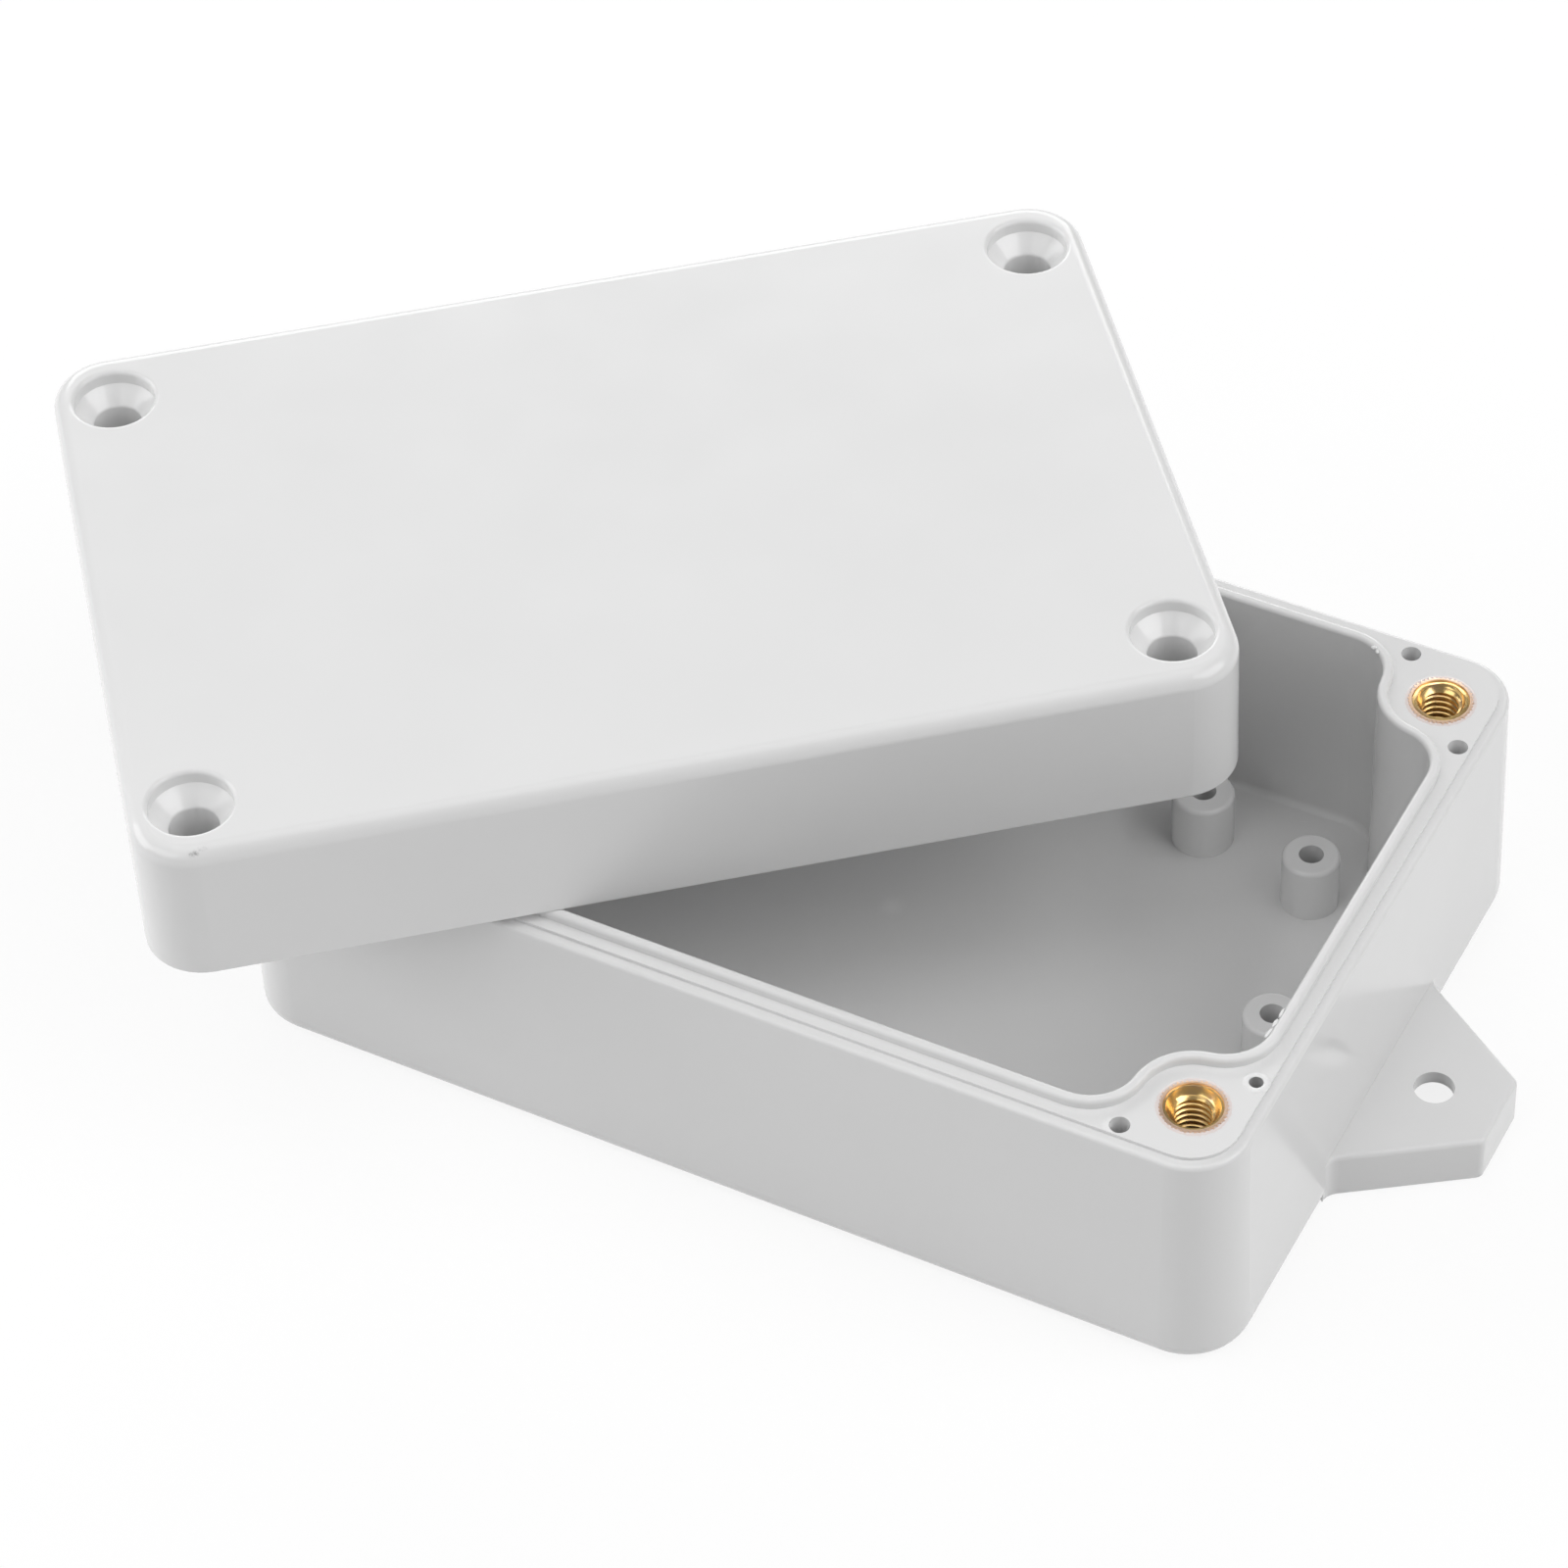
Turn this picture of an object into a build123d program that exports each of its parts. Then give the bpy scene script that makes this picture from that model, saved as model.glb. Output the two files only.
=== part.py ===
from build123d import *
from math import atan2, degrees, radians, tan
import os

# A sealed project box: a moulded base with two mounting ears and four brass
# inserts, and its lid, which lies loose and turned across the base.
# Millimetres, +Z up. The origin is the centre of the base's underside, and the
# base's long side runs along X.

# Outside of both mouldings. Length and width are those of the rim, where the
# two meet: the base grows towards its foot and the lid shrinks towards its top.
length = 100.0
width = 68.0
corner_radius = 5.55
base_height = 25.65
lid_height = 14.8
base_draft = 1.15
lid_draft = 0.75
base_edge_round = 1.75
lid_edge_round = 1.55

# Rim of the base: an outer band, a land one small step up and a raised lip
rim_band = 1.0
rim_round = 0.43
land_step = 0.35
lip_inset = 2.15
lip_width = 1.0
lip_height = 0.95
lip_round = 0.39

# Corner bosses, which the lip goes round, with the inserts this far in from the rim
insert_end_inset = 5.85
insert_side_inset = 6.7
boss_radius = 4.85
boss_sweep = 5.35

# Inside of the base
floor_thickness = 2.45
floor_round = 0.7

# Brass inserts, M4, with a clearance hole below each for the screw's end
insert_diameter = 5.6
insert_length = 7.0
insert_core = 3.3
insert_mouth = 5.1
insert_exit = 4.2
insert_lead = 0.26
relief_diameter = 4.4
relief_length = 7.85

# Pilot holes, two beside each insert, one along each wall
pilot_diameter = 1.85
pilot_depth = 7.0
pilot_inset = 2.15
pilot_spacing = 4.85

# Standoffs on the floor, this far in from the rim: two on the long centre line,
# four for a circuit board and four wider ones nearer to the long walls
post_height = 6.1
post_round = 0.43
post_hole_depth = 4.8
end_post_inset = 10.1
board_post_end_inset = 14.95
board_post_side_inset = 14.1
board_post_diameter = 5.55
board_post_hole = 2.35
side_post_end_inset = 27.5
side_post_side_inset = 10.85
side_post_diameter = 6.0
side_post_hole = 2.45

# Mounting ears, hollow below like the rest of the moulding, a little behind the
# box's middle
ear_length = 11.75
ear_root_width = 24.0
ear_end_width = 8.1
ear_offset = 0.85
ear_height = 5.15
ear_skin = 1.4
ear_wall = 1.55
ear_root_depth = 2.15
ear_root_round = 1.75
ear_corner_round = 0.85
ear_edge_round = 0.43
ear_hole_diameter = 3.75
ear_hole_reach = 5.2

# Inside of the lid
lid_top = 2.45
lid_mating_round = 0.26
lid_inner_round = 1.05
groove_clearance = 0.17
groove_depth = 2.45
groove_wall = 1.05

# Screw holes in the lid: a short counterbore, a cone and a bore
head_diameter = 7.65
head_depth = 1.4
head_round = 0.43
screw_clearance = 4.5
bore_round = 0.35

# Gasket in the groove's roof
gasket_height = 1.55
gasket_clearance = 0.09

# How the lid lies: flat on the lip, turned about Z, moved to the back left
lid_angle = 39.4
lid_shift_x = -26.83
lid_shift_y = 3.61

# Places that follow
insert_x = length / 2 - insert_end_inset
insert_y = width / 2 - insert_side_inset
end_post_x = length / 2 - end_post_inset
board_post_x = length / 2 - board_post_end_inset
board_post_y = width / 2 - board_post_side_inset
side_post_x = length / 2 - side_post_end_inset
side_post_y = width / 2 - side_post_side_inset
wall_sweep_y = width / 2 - lip_inset - boss_sweep
wall_sweep_x = insert_x - ((boss_radius + boss_sweep)**2 - (insert_y - wall_sweep_y)**2)**0.5
end_sweep_x = length / 2 - lip_inset - boss_sweep
end_sweep_y = insert_y - ((boss_radius + boss_sweep)**2 - (insert_x - end_sweep_x)**2)**0.5
land_z = base_height + land_step
lip_top_z = land_z + lip_height
post_top_z = floor_thickness + post_height
end_wall_x = length / 2 + (base_height - ear_height) * tan(radians(base_draft))

SIDES = (-1, 1)
CORNERS = [(x, y) for x in SIDES for y in SIDES]
near = 1e-3


def plan(inset):
    """Outside outline of a moulding, moved inwards by inset."""
    return RectangleRounded(length - 2 * inset, width - 2 * inset, corner_radius - inset)


def lip_plan(inset):
    """Area inside the lip's outer face, moved inwards by inset.

    In each corner the outline bends round the insert, and sweeps from there into
    the long wall and the end wall."""
    half_x = length / 2 - lip_inset - inset
    half_y = width / 2 - lip_inset - inset
    reach = boss_radius + inset
    sweep = boss_sweep - inset
    wall_turn = degrees(atan2(insert_y - wall_sweep_y, insert_x - wall_sweep_x))
    end_turn = degrees(atan2(insert_y - end_sweep_y, insert_x - end_sweep_x))
    corner = [
        CenterArc((wall_sweep_x, wall_sweep_y), sweep, wall_turn, 90 - wall_turn),
        CenterArc((insert_x, insert_y), reach, 180 + wall_turn, end_turn - wall_turn),
        CenterArc((end_sweep_x, end_sweep_y), sweep, 0, end_turn),
    ]
    right = corner + [mirror(arc, Plane.XZ) for arc in corner]
    right.append(Line((half_x, -end_sweep_y), (half_x, end_sweep_y)))
    walls = [Line((-wall_sweep_x, y * half_y), (wall_sweep_x, y * half_y)) for y in SIDES]
    return make_face(right + [mirror(edge, Plane.YZ) for edge in right] + walls)


def prism(outline, bottom, top):
    """An outline raised straight from one height to another."""
    return extrude(Pos(0, 0, bottom) * outline, top - bottom)


def round_ends(solid, which, radius):
    """Rounds the edges of the highest (-1) or lowest (0) face."""
    return fillet(solid.faces().sort_by(Axis.Z)[which].edges(), radius)


def ear_plan(inset, root_x):
    """A tapering tab that starts at root_x, moved inwards by inset."""
    end_x = end_wall_x + ear_length
    slope = (ear_root_width - ear_end_width) / 2 / ear_length
    side = inset * (1 + slope**2) ** 0.5
    root_y = ear_root_width / 2 - (root_x - end_wall_x) * slope - side
    end_y = ear_end_width / 2 + inset * slope - side
    return Polygon(
        (root_x, root_y), (root_x, -root_y), (end_x - inset, -end_y), (end_x - inset, end_y),
        align=None,
    )


def ear():
    """One mounting ear at the +X end, with its root inside the end wall.

    The root's corners slope inwards, under the base's rounded bottom edge."""
    tab = ear_plan(0, end_wall_x)
    tab = fillet(tab.vertices().sort_by(Axis.X)[2:], ear_corner_round)
    turn = atan2(ear_length, (ear_root_width - ear_end_width) / 2)
    foot = ear_root_width + 2 * ear_root_round * tan(turn / 2)
    tab += Pos(end_wall_x - ear_root_depth / 2, 0) * Rectangle(ear_root_depth, foot + 2 * ear_root_round)
    roots = [v for v in tab.vertices()
             if abs(v.X - end_wall_x) < near and abs(abs(v.Y) - ear_root_width / 2) < near]
    tab = fillet(roots, ear_root_round)
    inner_x = end_wall_x - ear_root_depth
    inner_y = foot / 2 - ear_root_depth
    outer_x = end_wall_x + ear_length
    tab &= Polygon(
        (inner_x, -inner_y), (end_wall_x, -foot / 2), (outer_x, -foot / 2),
        (outer_x, foot / 2), (end_wall_x, foot / 2), (inner_x, inner_y),
        align=None,
    )
    solid = prism(tab, 0, ear_height)
    rims = [e for e in solid.edges() if e.center().X > end_wall_x + near and abs(e.tangent_at(0).Z) < near]
    solid = fillet(rims, ear_edge_round)
    pocket = ear_plan(ear_wall, end_wall_x + ear_wall)
    solid -= prism(fillet(pocket.vertices(), ear_corner_round), 0, ear_height - ear_skin)
    hole = Pos(end_wall_x + ear_hole_reach, 0) * Circle(ear_hole_diameter / 2)
    return solid - prism(hole, 0, ear_height)


def post(diameter, hole):
    """A standoff with a rounded top and a blind hole."""
    body = round_ends(Cylinder(diameter / 2, post_top_z, align=(Align.CENTER, Align.CENTER, Align.MIN)),
                      -1, post_round)
    return body - prism(Circle(hole / 2), post_top_z - post_hole_depth, post_top_z)


def posts():
    """All standoffs at their places."""
    end = [Pos(x * end_post_x, 0) * post(board_post_diameter, board_post_hole) for x in SIDES]
    board = [Pos(x * board_post_x, y * board_post_y) * post(board_post_diameter, board_post_hole)
             for x, y in CORNERS]
    side = [Pos(x * side_post_x, y * side_post_y) * post(side_post_diameter, side_post_hole)
            for x, y in CORNERS]
    return end + board + side


def boss_holes():
    """Cutters for the insert seats, their reliefs and the pilot holes."""
    seat = Circle(insert_diameter / 2)
    relief = Circle(relief_diameter / 2)
    pilot = Circle(pilot_diameter / 2)
    holes = []
    for x, y in CORNERS:
        centre = Pos(x * insert_x, y * insert_y)
        by_long_wall = Pos(x * (insert_x - pilot_spacing), y * (width / 2 - pilot_inset))
        by_end_wall = Pos(x * (length / 2 - pilot_inset), y * (insert_y - pilot_spacing))
        holes.append(centre * prism(seat, land_z - insert_length, land_z))
        holes.append(centre * prism(relief, land_z - insert_length - relief_length, land_z))
        holes.append(by_long_wall * prism(pilot, land_z - pilot_depth, land_z))
        holes.append(by_end_wall * prism(pilot, land_z - pilot_depth, land_z))
    return holes


def enclosure_base():
    """The base moulding: walls, floor, lip, bosses, standoffs and ears."""
    body = extrude(Pos(0, 0, base_height) * plan(0), -base_height, taper=-base_draft)
    body = round_ends(body, 0, base_edge_round)
    body = round_ends(body, -1, rim_round)
    body += prism(plan(rim_band), floor_thickness, land_z)
    body += round_ends(prism(lip_plan(0), floor_thickness, lip_top_z), -1, lip_round)
    body -= round_ends(prism(lip_plan(lip_width), floor_thickness, lip_top_z), 0, floor_round)
    lip_edges = body.faces().sort_by(Axis.Z)[-1].inner_wires()[0].edges()
    body = fillet(lip_edges, lip_round)
    body += posts()
    side = Pos(0, ear_offset) * ear()
    body += [side, mirror(side, Plane.YZ)]
    return body - boss_holes()


def insert():
    """A brass insert, its mouth at the origin and pointing up."""
    outer = insert_diameter / 2
    core = insert_core / 2
    mouth = insert_mouth / 2
    end = insert_exit / 2
    profile = Polygon(
        (core, core - mouth), (mouth, 0), (outer, 0),
        (outer, insert_lead - insert_length), (outer - insert_lead, -insert_length),
        (end, -insert_length), (core, end - core - insert_length),
        align=None,
    )
    return revolve(Plane.XZ * profile, Axis.Z)


def screw_hole():
    """Cutter for one screw hole, through the lid's whole height."""
    head = head_diameter / 2
    bore = screw_clearance / 2
    head_z = lid_height - head_depth
    profile = Polygon(
        (0, 0), (bore, 0), (bore, head_z - head + bore), (head, head_z), (head, lid_height), (0, lid_height),
        align=None,
    )
    mouth = [v for v in profile.vertices() if abs(v.X - bore) < near and v.Y > near]
    return revolve(Plane.XZ * fillet(mouth, bore_round), Axis.Z)


def lid():
    """The lid moulding, mouth down, its mating face at z = 0."""
    body = extrude(plan(0), lid_height, taper=lid_draft)
    body = round_ends(body, -1, lid_edge_round)
    body = round_ends(body, 0, lid_mating_round)
    inside = lip_width + groove_clearance + groove_wall
    body -= round_ends(prism(lip_plan(inside), 0, lid_height - lid_top), -1, lid_inner_round)
    groove = lip_plan(-groove_clearance) - lip_plan(lip_width + groove_clearance)
    body -= prism(groove, 0, groove_depth)
    body -= [Pos(x * insert_x, y * insert_y) * screw_hole() for x, y in CORNERS]
    rims = [e for e in body.faces().sort_by(Axis.Z)[-1].edges() if e.geom_type == GeomType.CIRCLE
            and abs(e.radius - head_diameter / 2) < near]
    return fillet(rims, head_round)


def gasket():
    """The seal in the lid's groove, pressed against its roof."""
    play = groove_clearance - gasket_clearance
    ring = lip_plan(-play) - lip_plan(lip_width + play)
    return prism(ring, groove_depth - gasket_height, groove_depth)


lid_place = Location((lid_shift_x, lid_shift_y, lip_top_z), (0, 0, lid_angle))

nodes = {
    "enclosure_base": enclosure_base(),
    "lid": lid_place * lid(),
    "lid_gasket": lid_place * gasket(),
}
for x, y in CORNERS:
    name = f"insert_{'back' if y > 0 else 'front'}_{'right' if x > 0 else 'left'}"
    nodes[name] = Pos(x * insert_x, y * insert_y, land_z) * insert()

os.makedirs("parts", exist_ok=True)
for name, shape in nodes.items():
    export_step(shape, f"parts/{name}.step")
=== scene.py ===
import random
from math import atan2, cos, pi, radians, sin

import bpy
from mathutils import Matrix, Quaternion, Vector


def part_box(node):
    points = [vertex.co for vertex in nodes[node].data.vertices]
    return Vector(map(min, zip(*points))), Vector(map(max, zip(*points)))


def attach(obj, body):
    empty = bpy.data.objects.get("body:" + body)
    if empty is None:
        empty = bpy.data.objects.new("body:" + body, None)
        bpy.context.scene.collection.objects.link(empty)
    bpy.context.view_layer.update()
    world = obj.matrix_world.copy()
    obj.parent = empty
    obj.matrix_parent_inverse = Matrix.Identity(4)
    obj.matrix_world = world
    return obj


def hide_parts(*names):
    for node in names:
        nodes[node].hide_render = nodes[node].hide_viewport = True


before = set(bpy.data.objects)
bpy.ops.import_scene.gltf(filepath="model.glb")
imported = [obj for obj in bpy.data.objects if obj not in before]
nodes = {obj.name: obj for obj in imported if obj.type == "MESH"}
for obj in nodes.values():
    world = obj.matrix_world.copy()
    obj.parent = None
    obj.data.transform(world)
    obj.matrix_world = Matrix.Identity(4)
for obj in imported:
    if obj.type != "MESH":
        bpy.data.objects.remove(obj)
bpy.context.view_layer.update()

# A light-grey moulded project box, its lid lying turned across the open base.
# Everything is in metres, in the frame's axes: the base's long side runs along X.

mm = 0.001
random.seed(11)
bpy.context.scene.view_settings.view_transform = "Standard"

# Camera: where it looks from, its roll and its lens, for a 1600 x 1600 picture
camera_azimuth = radians(29.752)
camera_elevation = radians(45.529)
camera_roll = radians(3.178)
camera_place = Vector((0.16691, -0.30953, 0.37984))
camera_lens = 125.18
camera_sensor = 36.0

# The floor is seen as white with a light shadow, and sends back less light than that
floor_bounce = 0.72
floor_shadow = 0.15
floor_drop = 0.02 * mm

# Heights of the base's rim, and how the lid lies
land_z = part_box("insert_front_right")[1].z
lip_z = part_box("lid")[0].z
lid_turn = radians(39.4)
lid_middle = Vector((-26.83, 3.61, 0)) * mm

# Places on the base's rim, in millimetres: the torn pilot hole and the two inserts in view
torn_pilot = (47.85, -22.45, 26.0)
front_insert = (44.15, -27.3, 26.0)
back_insert = (44.15, 27.3, 26.0)

# Brass inserts
insert_radius = 2.8 * mm
insert_length = 7.0 * mm
front_mouth = 2.4 * mm
back_mouth = 2.2 * mm
mouth_slope = 0.5
throat_radius = 2.1 * mm
core_radius = 1.7 * mm
thread_radius = 2.07 * mm
thread_pitch = 0.7 * mm
thread_side = 0.64 * mm
knurl_teeth = 44
knurl_root = 2.66 * mm
knurl_radius = 3.1 * mm
knurl_thickness = 0.1 * mm
knurl_edge = insert_radius - 0.02 * mm

# Colours
plastic_grey = (0.80, 0.80, 0.80, 1)
plastic_pink = (0.78, 0.70, 0.68, 1)
brass_gold = (0.95, 0.66, 0.27, 1)
brass_pink = (0.90, 0.62, 0.38, 1)
brass_dust = (0.90, 0.66, 0.50, 1)
rubber_black = (0.035, 0.035, 0.035, 1)
grime = (0.30, 0.30, 0.30, 1)
faint_grime = (0.50, 0.50, 0.50, 1)
whitened = (0.86, 0.86, 0.86, 1)
paler = (0.85, 0.85, 0.85, 1)


# Making pieces

def only(*things):
    """Selects these objects and nothing else, the first one active."""
    bpy.ops.object.select_all(action="DESELECT")
    for thing in things:
        thing.select_set(True)
    bpy.context.view_layer.objects.active = things[0]


def add(primitive, name, **settings):
    """Adds one primitive at its size and place, alone selected, its origin at the world's."""
    bpy.ops.object.select_all(action="DESELECT")
    primitive(**settings)
    thing = bpy.context.object
    thing.name = name
    thing.data.name = name
    bpy.ops.object.transform_apply(location=True, rotation=True, scale=True)
    return thing


def edit_all():
    """Enters edit mode with every vertex selected."""
    bpy.ops.object.mode_set(mode="EDIT")
    bpy.ops.mesh.select_mode(type="VERT")
    bpy.ops.mesh.select_all(action="SELECT")


def draw_out(drop, ratio):
    """In edit mode, extrudes what is selected down by drop and scales it about the axis."""
    bpy.ops.mesh.extrude_region_move(TRANSFORM_OT_translate={"value": (0, 0, -drop)})
    bpy.ops.transform.resize(value=(ratio, ratio, 1), center_override=(0, 0, 0))


def face_out(thing, open_sides=0):
    """Merges doubles, fills open ends of so many sides and turns every face outwards."""
    only(thing)
    edit_all()
    bpy.ops.mesh.remove_doubles(threshold=1e-7)
    if open_sides:
        bpy.ops.mesh.fill_holes(sides=open_sides)
    bpy.ops.mesh.normals_make_consistent(inside=False)
    bpy.ops.object.mode_set(mode="OBJECT")


def choose_faces(thing, wanted):
    """Enters edit mode with only the wanted faces selected."""
    only(thing)
    bpy.ops.object.mode_set(mode="EDIT")
    bpy.ops.mesh.select_mode(type="FACE")
    bpy.ops.mesh.select_all(action="DESELECT")
    bpy.ops.object.mode_set(mode="OBJECT")
    for face in thing.data.polygons:
        face.select = wanted(face)
    bpy.ops.object.mode_set(mode="EDIT")


def finish_modifier(thing, kind, **settings):
    """Adds a modifier with these settings and applies it."""
    only(thing)
    bpy.ops.object.modifier_add(type=kind)
    modifier = thing.modifiers[-1]
    for setting, value in settings.items():
        setattr(modifier, setting, value)
    bpy.ops.object.modifier_apply(modifier=modifier.name)


def cut(thing, cutter):
    """Takes a cutter's shape out of a piece, and removes the cutter."""
    finish_modifier(thing, "BOOLEAN", operation="DIFFERENCE", object=cutter, solver="EXACT")
    bpy.data.objects.remove(cutter, do_unlink=True)


def smooth(thing, degrees):
    """Smooths a piece, keeping edges sharper than this angle."""
    only(thing)
    bpy.ops.object.shade_smooth_by_angle(angle=radians(degrees))


def copy_to(thing, name, place, turn=0.0):
    """A copy of a piece with its own mesh, turned about Z and moved to its place."""
    twin = bpy.data.objects.new(name, thing.data.copy())
    twin.data.name = name
    bpy.context.scene.collection.objects.link(twin)
    twin.data.transform(Matrix.Translation(place) @ Matrix.Rotation(turn, 4, "Z"))
    return twin


def dress(thing, material):
    """Gives every face of an object one material."""
    thing.data.materials.clear()
    thing.data.materials.append(material)


def ring(name, radii, heights, count, ragged):
    """A low closed ring about the axis: its top follows radii and heights, its rim is ragged."""
    band = add(bpy.ops.mesh.primitive_circle_add, name, vertices=count, radius=radii[0],
               fill_type="NOTHING", location=(0, 0, heights[0]))
    edit_all()
    for before, after, low, high in zip(radii, radii[1:], heights, heights[1:]):
        draw_out(low - high, after / before)
    bpy.ops.mesh.select_all(action="SELECT")
    bpy.ops.mesh.region_to_loop()
    bpy.ops.mesh.bridge_edge_loops()
    bpy.ops.object.mode_set(mode="OBJECT")
    for vertex in band.data.vertices:
        reach = Vector((vertex.co.x, vertex.co.y)).length
        if reach > radii[0] + 1e-6:
            vertex.co.xy *= 1 + random.uniform(-ragged, ragged) / reach
    face_out(band)
    return band


# Brass insert, its mouth at the origin: a turned body, its bore, its thread and its knurl

def insert_bore(mouth):
    """What a countersunk drill takes away, from above the mouth to below the end."""
    above = 0.4 * mm
    end_cone = 0.45 * mm
    below = 0.4 * mm
    wide = mouth + above * mouth_slope
    cone = (mouth - throat_radius) / mouth_slope
    step = throat_radius - core_radius
    bore = add(bpy.ops.mesh.primitive_circle_add, "bore", vertices=96, radius=wide,
               fill_type="NGON", location=(0, 0, above))
    edit_all()
    draw_out(cone + above, throat_radius / wide)
    draw_out(step, core_radius / throat_radius)
    draw_out(insert_length - cone - step - end_cone, 1)
    draw_out(end_cone + below, (core_radius + end_cone + below) / core_radius)
    bpy.ops.object.mode_set(mode="OBJECT")
    face_out(bore)
    return bore


def insert_tap():
    """What a tap takes away: a three-sided ridge wound down the bore."""
    low = insert_length + 0.9 * mm
    reach = thread_side / 3**0.5
    tap = add(bpy.ops.mesh.primitive_circle_add, "tap", vertices=3, radius=reach,
              fill_type="NOTHING", rotation=(pi / 2, pi / 2, 0),
              location=(thread_radius - reach, 0, -low))
    finish_modifier(tap, "SCREW", axis="Z", angle=2 * pi, steps=72, render_steps=72,
                    iterations=13, screw_offset=thread_pitch)
    face_out(tap, 3)
    return tap


def insert_body(mouth):
    """A turned blank, drilled and tapped, its end edges broken."""
    body = add(bpy.ops.mesh.primitive_cylinder_add, "insert_body", vertices=96, radius=insert_radius,
               depth=insert_length, location=(0, 0, -insert_length / 2))
    choose_faces(body, lambda face: abs(face.normal.z) > 0.9)
    bpy.ops.mesh.bevel(offset=0.12 * mm, segments=2)
    bpy.ops.object.mode_set(mode="OBJECT")
    cut(body, insert_bore(mouth))
    cut(body, insert_tap())
    return body


def insert_knurl():
    """The knurl's ragged edge, squeezed out over the mouth of the seat."""
    count = 2 * knurl_teeth
    teeth = add(bpy.ops.mesh.primitive_circle_add, "knurl", vertices=count, radius=knurl_root,
                fill_type="NOTHING", location=(0, 0, 0.005 * mm))
    edit_all()
    draw_out(0, knurl_edge / knurl_root)
    draw_out(0, knurl_radius / knurl_edge)
    bpy.ops.mesh.select_all(action="SELECT")
    bpy.ops.mesh.extrude_region_move(TRANSFORM_OT_translate={"value": (0, 0, knurl_thickness)})
    bpy.ops.object.mode_set(mode="OBJECT")
    lengths = [random.uniform(0.5, 1.2) if k % 2 else random.uniform(-0.1, 0.25) for k in range(count)]
    for vertex in teeth.data.vertices:
        reach = vertex.co.xy.length
        if reach > insert_radius:
            k = round(atan2(vertex.co.y, vertex.co.x) / (2 * pi) * count) % count
            vertex.co.xy *= (insert_radius + (knurl_radius - insert_radius) * lengths[k]) / reach
            vertex.co.z -= 0.04 * mm * lengths[k]
    face_out(teeth)
    return teeth


def burr(name, place, half, turn):
    """A small torn lump of plastic, half sunk in what carries it."""
    lump = add(bpy.ops.mesh.primitive_ico_sphere_add, name, subdivisions=3, radius=1)
    for vertex in lump.data.vertices:
        vertex.co *= random.uniform(0.8, 1.1)
    lump.data.transform(Matrix.Translation(place) @ Matrix.Rotation(turn, 4, "Z")
                        @ Matrix.Diagonal((*half, 1)))
    face_out(lump)
    smooth(lump, 80)
    return lump


# Shared effects on the surfaces

def effect(name, inputs, outputs):
    """A new node group with these sockets, and its input and output nodes."""
    group = bpy.data.node_groups.new(name, "ShaderNodeTree")
    for socket, kind, value in inputs:
        made = group.interface.new_socket(name=socket, in_out="INPUT", socket_type=kind)
        made.default_value = value
    for socket, kind in outputs:
        group.interface.new_socket(name=socket, in_out="OUTPUT", socket_type=kind)
    return group, group.nodes.new("NodeGroupInput"), group.nodes.new("NodeGroupOutput")


def noise(group, link_from, scale, detail, roughness=0.5):
    """A noise texture in a group, fed by its coordinates."""
    texture = group.nodes.new("ShaderNodeTexNoise")
    texture.inputs["Detail"].default_value = detail
    texture.inputs["Roughness"].default_value = roughness
    group.links.new(link_from, texture.inputs["Vector"])
    if isinstance(scale, (int, float)):
        texture.inputs["Scale"].default_value = scale
    else:
        group.links.new(scale, texture.inputs["Scale"])
    return texture


def spread(group, value, low, high, to_low, to_high, smooth_step=False):
    """A map range node; each end may be a number or a socket."""
    node = group.nodes.new("ShaderNodeMapRange")
    node.interpolation_type = "SMOOTHSTEP" if smooth_step else "LINEAR"
    group.links.new(value, node.inputs["Value"])
    for socket, end in (("From Min", low), ("From Max", high), ("To Min", to_low), ("To Max", to_high)):
        if isinstance(end, (int, float)):
            node.inputs[socket].default_value = end
        else:
            group.links.new(end, node.inputs[socket])
    return node.outputs["Result"]


def work_out(group, operation, first, second):
    """A maths node on two numbers or sockets."""
    node = group.nodes.new("ShaderNodeMath")
    node.operation = operation
    for socket, end in zip(node.inputs, (first, second)):
        if isinstance(end, (int, float)):
            socket.default_value = end
        else:
            group.links.new(end, socket)
    return node.outputs[0]


def blend(group, factor, first, second, mode="MIX"):
    """A colour mix; the factor and both colours may be values or sockets."""
    node = group.nodes.new("ShaderNodeMix")
    node.data_type = "RGBA"
    node.blend_type = mode
    for socket, end in ((node.inputs["Factor"], factor), (node.inputs[6], first), (node.inputs[7], second)):
        if isinstance(end, (int, float, tuple)):
            socket.default_value = end
        else:
            group.links.new(end, socket)
    return node.outputs[2]


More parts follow.
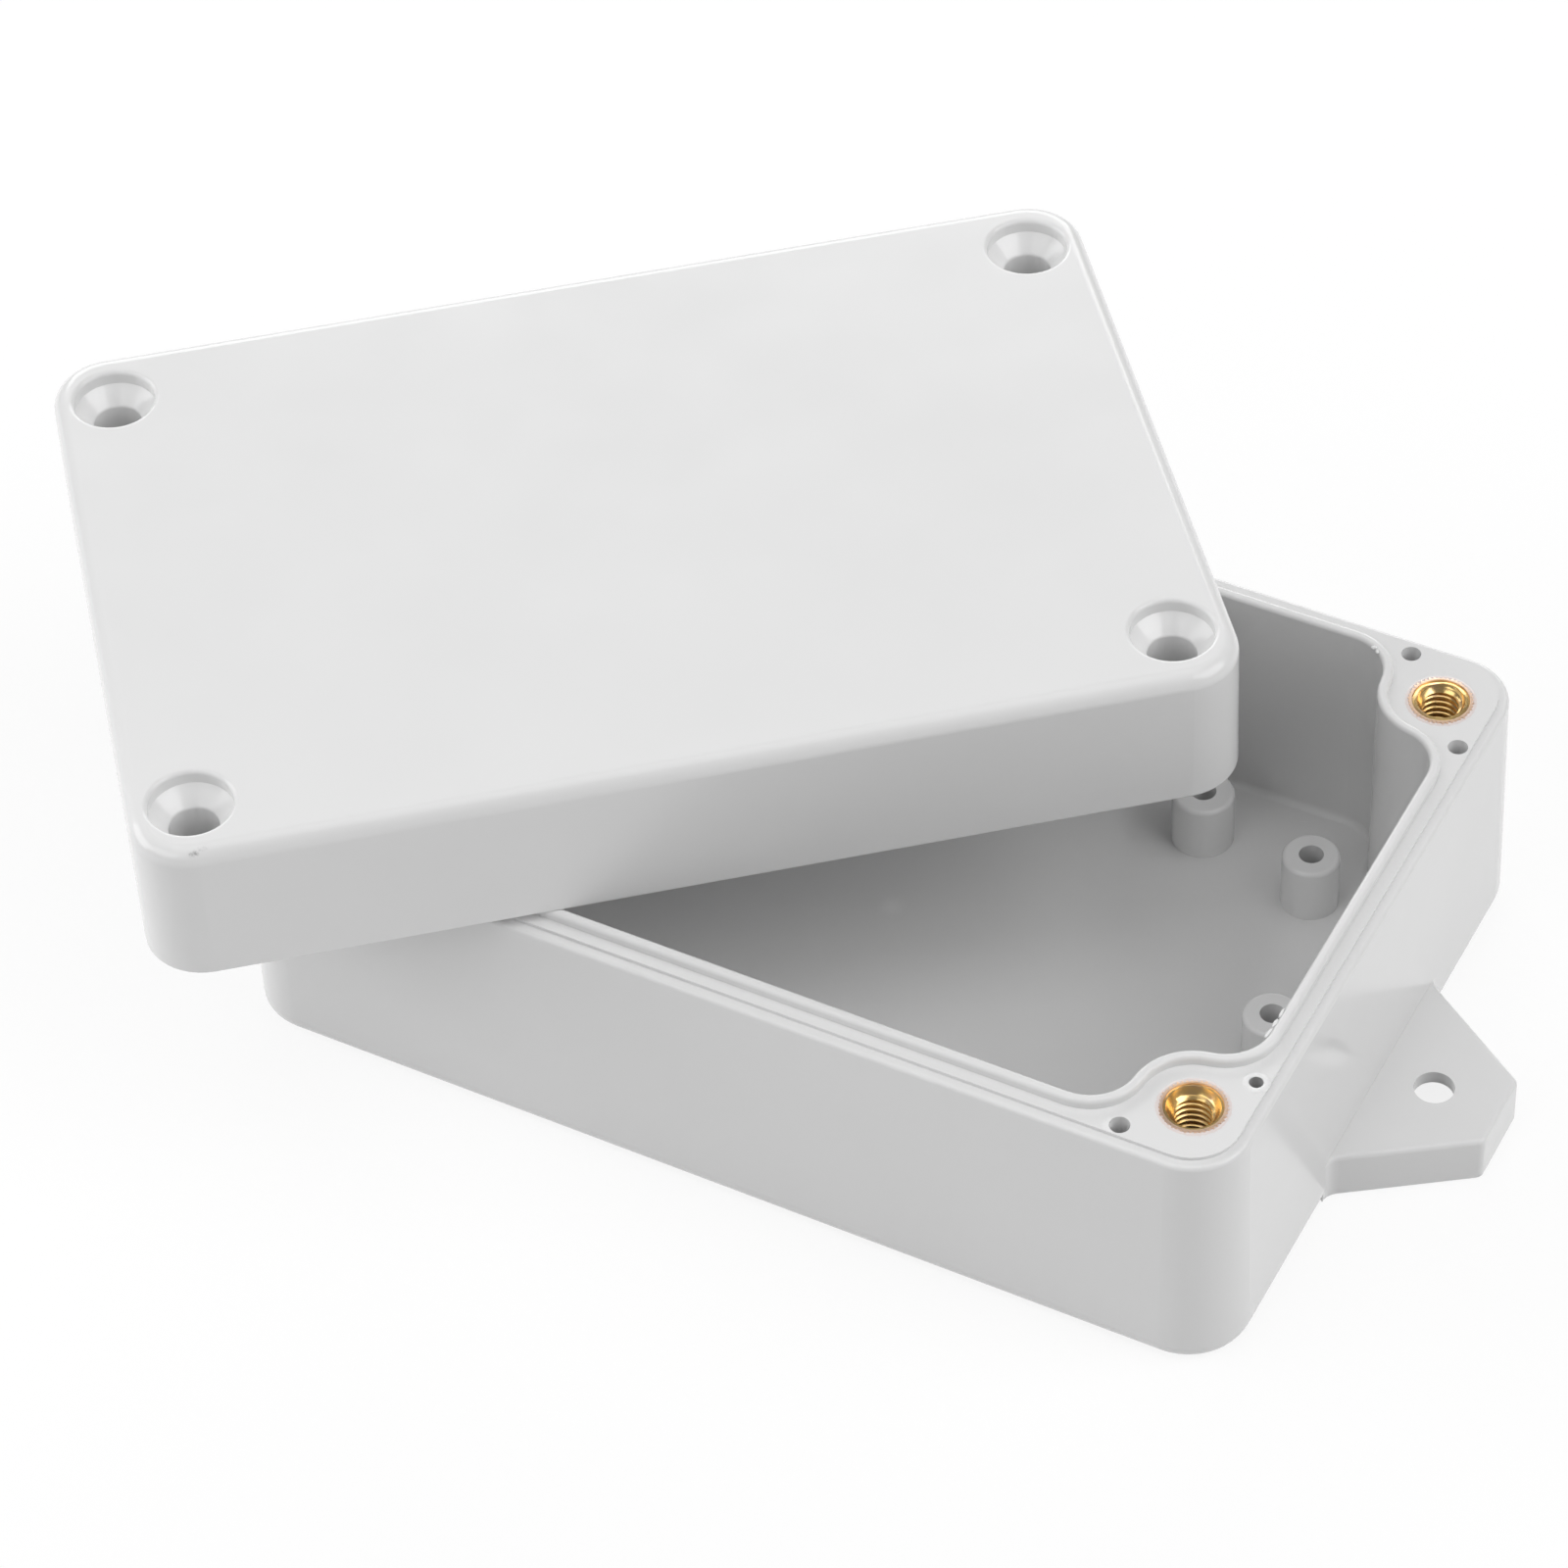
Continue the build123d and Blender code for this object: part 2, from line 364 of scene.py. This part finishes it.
def moulding_effect():
    """Cloudy flow, fine grain and slightly uneven gloss of a moulded surface."""
    group, given, made = effect(
        "moulding",
        (("Coordinates", "NodeSocketVector", (0, 0, 0)), ("Colour", "NodeSocketColor", (1, 1, 1, 1)),
         ("Cloud", "NodeSocketFloat", 0.02), ("Gloss", "NodeSocketFloat", 0.2),
         ("Unevenness", "NodeSocketFloat", 0.05), ("Grain scale", "NodeSocketFloat", 3000.0)),
        (("Colour", "NodeSocketColor"), ("Roughness", "NodeSocketFloat"), ("Height", "NodeSocketFloat")))
    at = given.outputs["Coordinates"]
    flow = noise(group, at, 38, 3, 0.55)
    grain = noise(group, at, given.outputs["Grain scale"], 2)
    waves = noise(group, at, 110, 2)
    dark = work_out(group, "SUBTRACT", 1, given.outputs["Cloud"])
    light = work_out(group, "ADD", 1, given.outputs["Cloud"])
    shade = spread(group, flow.outputs["Fac"], 0.3, 0.7, dark, light)
    tint = group.nodes.new("ShaderNodeCombineColor")
    for channel in tint.inputs:
        group.links.new(shade, channel)
    colour = blend(group, 1.0, given.outputs["Colour"], tint.outputs[0], "MULTIPLY")
    group.links.new(colour, made.inputs["Colour"])
    rough_high = work_out(group, "ADD", given.outputs["Gloss"], given.outputs["Unevenness"])
    group.links.new(spread(group, waves.outputs["Fac"], 0.3, 0.7, given.outputs["Gloss"], rough_high),
                    made.inputs["Roughness"])
    low = work_out(group, "MULTIPLY", waves.outputs["Fac"], 0.75)
    group.links.new(work_out(group, "ADD", low, work_out(group, "MULTIPLY", grain.outputs["Fac"], 0.25)),
                    made.inputs["Height"])
    return group


def mark_effect():
    """Mask of one small mark: a soft-edged, slightly ragged ellipsoid at a place, turned about Z."""
    group, given, made = effect(
        "mark",
        (("Coordinates", "NodeSocketVector", (0, 0, 0)), ("Place", "NodeSocketVector", (0, 0, 0)),
         ("Per size", "NodeSocketVector", (1, 1, 1)), ("Turn", "NodeSocketFloat", 0.0),
         ("Solid part", "NodeSocketFloat", 0.3), ("Ragged", "NodeSocketFloat", 0.3)),
        (("Mask", "NodeSocketFloat"),))
    away = group.nodes.new("ShaderNodeVectorMath")
    away.operation = "SUBTRACT"
    group.links.new(given.outputs["Coordinates"], away.inputs[0])
    group.links.new(given.outputs["Place"], away.inputs[1])
    turned = group.nodes.new("ShaderNodeVectorRotate")
    turned.rotation_type = "Z_AXIS"
    group.links.new(away.outputs[0], turned.inputs["Vector"])
    group.links.new(work_out(group, "MULTIPLY", given.outputs["Turn"], -1), turned.inputs["Angle"])
    scaled = group.nodes.new("ShaderNodeVectorMath")
    scaled.operation = "MULTIPLY"
    group.links.new(turned.outputs[0], scaled.inputs[0])
    group.links.new(given.outputs["Per size"], scaled.inputs[1])
    reach = group.nodes.new("ShaderNodeVectorMath")
    reach.operation = "LENGTH"
    group.links.new(scaled.outputs[0], reach.inputs[0])
    break_up = noise(group, given.outputs["Coordinates"], 3500, 3, 0.6)
    ragged = spread(group, break_up.outputs["Fac"], 0.3, 0.7, 0, given.outputs["Ragged"])
    total = work_out(group, "ADD", reach.outputs["Value"], ragged)
    group.links.new(spread(group, total, given.outputs["Solid part"], 1, 1, 0, True), made.inputs["Mask"])
    return group


moulding = moulding_effect()
mark = mark_effect()


# Materials

def principled(name):
    """A new material, its node tree and its shader."""
    material = bpy.data.materials.new(name)
    material.use_nodes = True
    return material, material.node_tree, material.node_tree.nodes["Principled BSDF"]


def use(tree, group, **values):
    """Places a shared effect in a material with its own values; names have _ for a space."""
    node = tree.nodes.new("ShaderNodeGroup")
    node.node_tree = group
    for name, value in values.items():
        socket = node.inputs[name.replace("_", " ")]
        if isinstance(value, bpy.types.NodeSocket):
            tree.links.new(value, socket)
        else:
            socket.default_value = value
    return node


def bump(tree, shader, height, distance, strength):
    """Leads a height into a shader's normal."""
    node = tree.nodes.new("ShaderNodeBump")
    node.inputs["Distance"].default_value = distance
    node.inputs["Strength"].default_value = strength
    tree.links.new(height, node.inputs["Height"])
    tree.links.new(node.outputs["Normal"], shader.inputs["Normal"])


def moulded_plastic(name, grey, marks):
    """Light plastic with marks: place, half sizes in mm, turn, colour, solid part, raggedness."""
    material, tree, shader = principled(name)
    shader.inputs["IOR"].default_value = 1.5
    at = tree.nodes.new("ShaderNodeTexCoord").outputs["Object"]
    finish = use(tree, moulding, Coordinates=at, Colour=grey, Cloud=0.012, Gloss=0.13,
                 Unevenness=0.06, Grain_scale=3200.0)
    colour = finish.outputs["Colour"]
    for place, half, turn, stain, solid, ragged in marks:
        spot = use(tree, mark, Coordinates=at, Place=place, Per_size=[1 / (side * mm) for side in half],
                   Turn=turn, Solid_part=solid, Ragged=ragged)
        colour = blend(tree, spot.outputs["Mask"], colour, stain)
    tree.links.new(colour, shader.inputs["Base Color"])
    tree.links.new(finish.outputs["Roughness"], shader.inputs["Roughness"])
    bump(tree, shader, finish.outputs["Height"], 0.02 * mm, 0.25)
    return material


def rubbed_brass(name, gold, gloss):
    """Bright yellow brass, slightly uneven, with a few copper-pink patches."""
    material, tree, shader = principled(name)
    shader.inputs["Metallic"].default_value = 0.87
    at = tree.nodes.new("ShaderNodeTexCoord").outputs["Object"]
    patches = noise(tree, at, 900, 3, 0.6)
    pink = spread(tree, patches.outputs["Fac"], 0.5, 0.72, 0, 0.8)
    tree.links.new(blend(tree, pink, gold, brass_pink), shader.inputs["Base Color"])
    finish = use(tree, moulding, Coordinates=at, Colour=gold, Cloud=0.05, Gloss=gloss,
                 Unevenness=0.14, Grain_scale=5200.0)
    tree.links.new(finish.outputs["Roughness"], shader.inputs["Roughness"])
    bump(tree, shader, finish.outputs["Height"], 0.02 * mm, 0.5)
    return material


def gasket_rubber():
    """Black rubber, a little cloudy and dull."""
    material, tree, shader = principled("gasket_rubber")
    at = tree.nodes.new("ShaderNodeTexCoord").outputs["Object"]
    finish = use(tree, moulding, Coordinates=at, Colour=rubber_black, Cloud=0.25, Gloss=0.55,
                 Unevenness=0.2, Grain_scale=2400.0)
    tree.links.new(finish.outputs["Colour"], shader.inputs["Base Color"])
    tree.links.new(finish.outputs["Roughness"], shader.inputs["Roughness"])
    bump(tree, shader, finish.outputs["Height"], 0.05 * mm, 0.4)
    return material


def on_lid(x, y, z):
    """A point given in the lid's own axes, in millimetres, its mating face at z = 0."""
    return lid_middle + Matrix.Rotation(lid_turn, 3, "Z") @ (Vector((x, y, z)) * mm) + Vector((0, 0, lip_z))


lid_marks = [
    (on_lid(-44.66, -33.4, 14.5), (0.95, 0.9, 0.42), lid_turn, grime, 0.15, 0.5),
    (on_lid(-43.8, -33.4, 14.7), (1.2, 0.9, 0.3), lid_turn, faint_grime, 0.1, 0.4),
    (on_lid(46.1, -33.3, 15.6), (0.8, 0.5, 0.2), lid_turn, whitened, 0.3, 0.3),
    (on_lid(36.1, -34.0, 7.6), (0.75, 0.5, 0.09), lid_turn, whitened, 0.1, 0.5),
    (on_lid(37.2, -34.0, 8.5), (0.6, 0.5, 0.08), lid_turn, whitened, 0.1, 0.5),
    (on_lid(36.2, -34.0, 10.2), (0.65, 0.5, 0.1), lid_turn, paler, 0.1, 0.5),
]
# The gate, the torn rims of two pilot holes, tints round two inserts, scratches inside and outside
base_marks = [(Vector(place) * mm, *rest) for place, *rest in (
    ((-0.2, 2.06, 2.45), (1.9, 1.9, 0.9), 0, paler, 0.2, 0.2),
    (torn_pilot, (1.3, 1.3, 0.6), 0, whitened, 0.75, 0.15),
    ((38.75, -32.15, 26.0), (1.25, 1.25, 0.6), 0, whitened, 0.6, 0.3),
    (front_insert, (3.7, 3.7, 1.0), 0, plastic_pink, 0.82, 0.15),
    (back_insert, (3.6, 3.6, 1.0), 0, plastic_pink, 0.82, 0.15),
    ((30.5, 28.95, 2.45), (0.8, 0.15, 0.5), 0.3, paler, 0.2, 0.4),
    ((49.9, -12.0, 20.4), (0.6, 0.22, 0.6), 0, whitened, 0.2, 0.4),
    ((49.9, -10.7, 19.6), (0.6, 0.3, 0.45), 0, whitened, 0.2, 0.4),
)]

# Camera
camera_data = bpy.data.cameras.new("camera")
camera = bpy.data.objects.new("camera", camera_data)
bpy.context.scene.collection.objects.link(camera)
bpy.context.scene.camera = camera
camera_data.sensor_width = camera_sensor
camera_data.lens = camera_lens
camera_data.clip_start = 0.01
back = Vector((sin(camera_azimuth) * cos(camera_elevation), -cos(camera_azimuth) * cos(camera_elevation),
               sin(camera_elevation)))
camera.rotation_mode = "QUATERNION"
camera.rotation_quaternion = (-back).to_track_quat("-Z", "Y") @ Quaternion((0, 0, 1), -camera_roll)
camera.location = camera_place

# Floor
floor = add(bpy.ops.mesh.primitive_plane_add, "floor", size=6, location=(0, 0, -floor_drop))
material, tree, shader = principled("pale_floor")
shader.inputs["Base Color"].default_value = (floor_bounce, floor_bounce, floor_bounce, 1)
shader.inputs["Roughness"].default_value = 0.9
shader.inputs["Specular IOR Level"].default_value = 0.1
rays = tree.nodes.new("ShaderNodeLightPath")
looked_at = work_out(tree, "ADD", rays.outputs["Is Camera Ray"], rays.outputs["Is Glossy Ray"])
looked_at = work_out(tree, "ADD", looked_at, rays.outputs["Is Transmission Ray"])
shadow_part = tree.nodes.new("ShaderNodeBsdfDiffuse")
shadow_part.inputs["Color"].default_value = (floor_shadow, floor_shadow, floor_shadow, 1)
white_part = tree.nodes.new("ShaderNodeEmission")
white_part.inputs["Strength"].default_value = 1 - floor_shadow
both = tree.nodes.new("ShaderNodeAddShader")
choice = tree.nodes.new("ShaderNodeMixShader")
tree.links.new(shadow_part.outputs[0], both.inputs[0])
tree.links.new(white_part.outputs[0], both.inputs[1])
tree.links.new(looked_at, choice.inputs["Fac"])
tree.links.new(shader.outputs[0], choice.inputs[1])
tree.links.new(both.outputs[0], choice.inputs[2])
tree.links.new(choice.outputs[0], tree.nodes["Material Output"].inputs["Surface"])
dress(floor, material)

# World and lights
world = bpy.data.worlds.new("studio")
bpy.context.scene.world = world
world.use_nodes = True
world.node_tree.nodes["Background"].inputs["Color"].default_value = (1, 1, 1, 1)
world.node_tree.nodes["Background"].inputs["Strength"].default_value = 0.12


def soft_light(name, azimuth, elevation, distance, width, height, power):
    """A rectangular soft light that looks at the box. Azimuth 0 is in front, 90 to the right."""
    data = bpy.data.lights.new(name, "AREA")
    data.shape = "RECTANGLE"
    data.size = width
    data.size_y = height
    data.energy = power
    lamp = bpy.data.objects.new(name, data)
    bpy.context.scene.collection.objects.link(lamp)
    a, e = radians(azimuth), radians(elevation)
    towards = Vector((sin(a) * cos(e), -cos(a) * cos(e), sin(e)))
    lamp.location = towards * distance
    lamp.rotation_mode = "QUATERNION"
    lamp.rotation_quaternion = (-towards).to_track_quat("-Z", "Y")


soft_light("light_left", -72, 22, 1.05, 0.8, 0.6, 4.7)
soft_light("light_front", -25, 40, 1.05, 0.8, 0.6, 2.45)
soft_light("light_right", 98, 41, 1.05, 0.9, 0.7, 5.85)
soft_light("light_back_left", -150, 25, 1.05, 0.9, 0.5, 4.3)
soft_light("light_above", 30, 88, 1.15, 0.9, 0.9, 3.0)

# Mouldings and gasket
dress(nodes["enclosure_base"], moulded_plastic("base_plastic", plastic_grey, base_marks))
dress(nodes["lid"], moulded_plastic("lid_plastic", plastic_grey, lid_marks))
dress(nodes["lid_gasket"], gasket_rubber())

# Inserts, each with its own brass body, its knurl and the plastic squeezed up round it
brass = rubbed_brass("turned_brass", brass_gold, 0.16)
dusty_brass = rubbed_brass("torn_brass", brass_dust, 0.3)
tinted_plastic = moulded_plastic("squeezed_plastic", plastic_pink, [])
for side, mouth, turns in (("front", front_mouth, (0.4, 3.3)), ("back", back_mouth, (2.1, 5.0))):
    first_insert = insert_body(mouth)
    knurl = insert_knurl()
    dress(first_insert, brass)
    dress(knurl, dusty_brass)
    only(first_insert, knurl)
    bpy.ops.object.join()
    smooth(first_insert, 32)
    for end, turn in zip(("right", "left"), turns):
        where = f"{side}_{end}"
        low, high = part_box(f"insert_{where}")
        place = Vector(((low.x + high.x) / 2, (low.y + high.y) / 2, land_z))
        body = copy_to(first_insert, f"brass_{where}", place, turn)
        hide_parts(f"insert_{where}")
        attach(body, "root")
        collar = ring(f"collar_{where}", [r * mm for r in (2.9, 3.02, 3.16, 3.4)],
                      [h * mm for h in (-0.03, 0.04, 0.03, -0.03)], 120, 0.06 * mm)
        collar.data.transform(Matrix.Translation(place))
        smooth(collar, 60)
        dress(collar, tinted_plastic)
        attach(collar, "root")
    bpy.data.objects.remove(first_insert, do_unlink=True)

# Torn plastic: the raised rim of the end wall's pilot hole, and burrs on the lip
torn_plastic = moulded_plastic("torn_plastic", whitened, [])
pilot_rim = ring("pilot_rim", [r * mm for r in (0.64, 0.82, 1.06, 1.26)],
                 [h * mm for h in (0.03, 0.12, 0.08, -0.04)], 60, 0.09 * mm)
pilot_rim.data.transform(Matrix.Translation(Vector(torn_pilot) * mm))
smooth(pilot_rim, 60)
torn = [pilot_rim]
for name, place, half, turn in (
        ("burr_back", (36.2, 30.25, 26.93), (0.3, 0.2, 0.16), 0.6),
        ("burr_back_small", (36.7, 29.85, 26.93), (0.24, 0.17, 0.13), 2.0),
        ("burr_front", (46.86, -14.9, 26.88), (0.13, 0.6, 0.13), 0.02),
        ("burr_front_middle", (46.83, -16.2, 26.88), (0.17, 0.5, 0.14), -0.08),
        ("burr_front_end", (46.78, -17.5, 26.88), (0.16, 0.7, 0.13), -0.12)):
    torn.append(burr(name, Vector(place) * mm, [h * mm for h in half], turn))
for piece in torn:
    dress(piece, torn_plastic)
    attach(piece, "root")
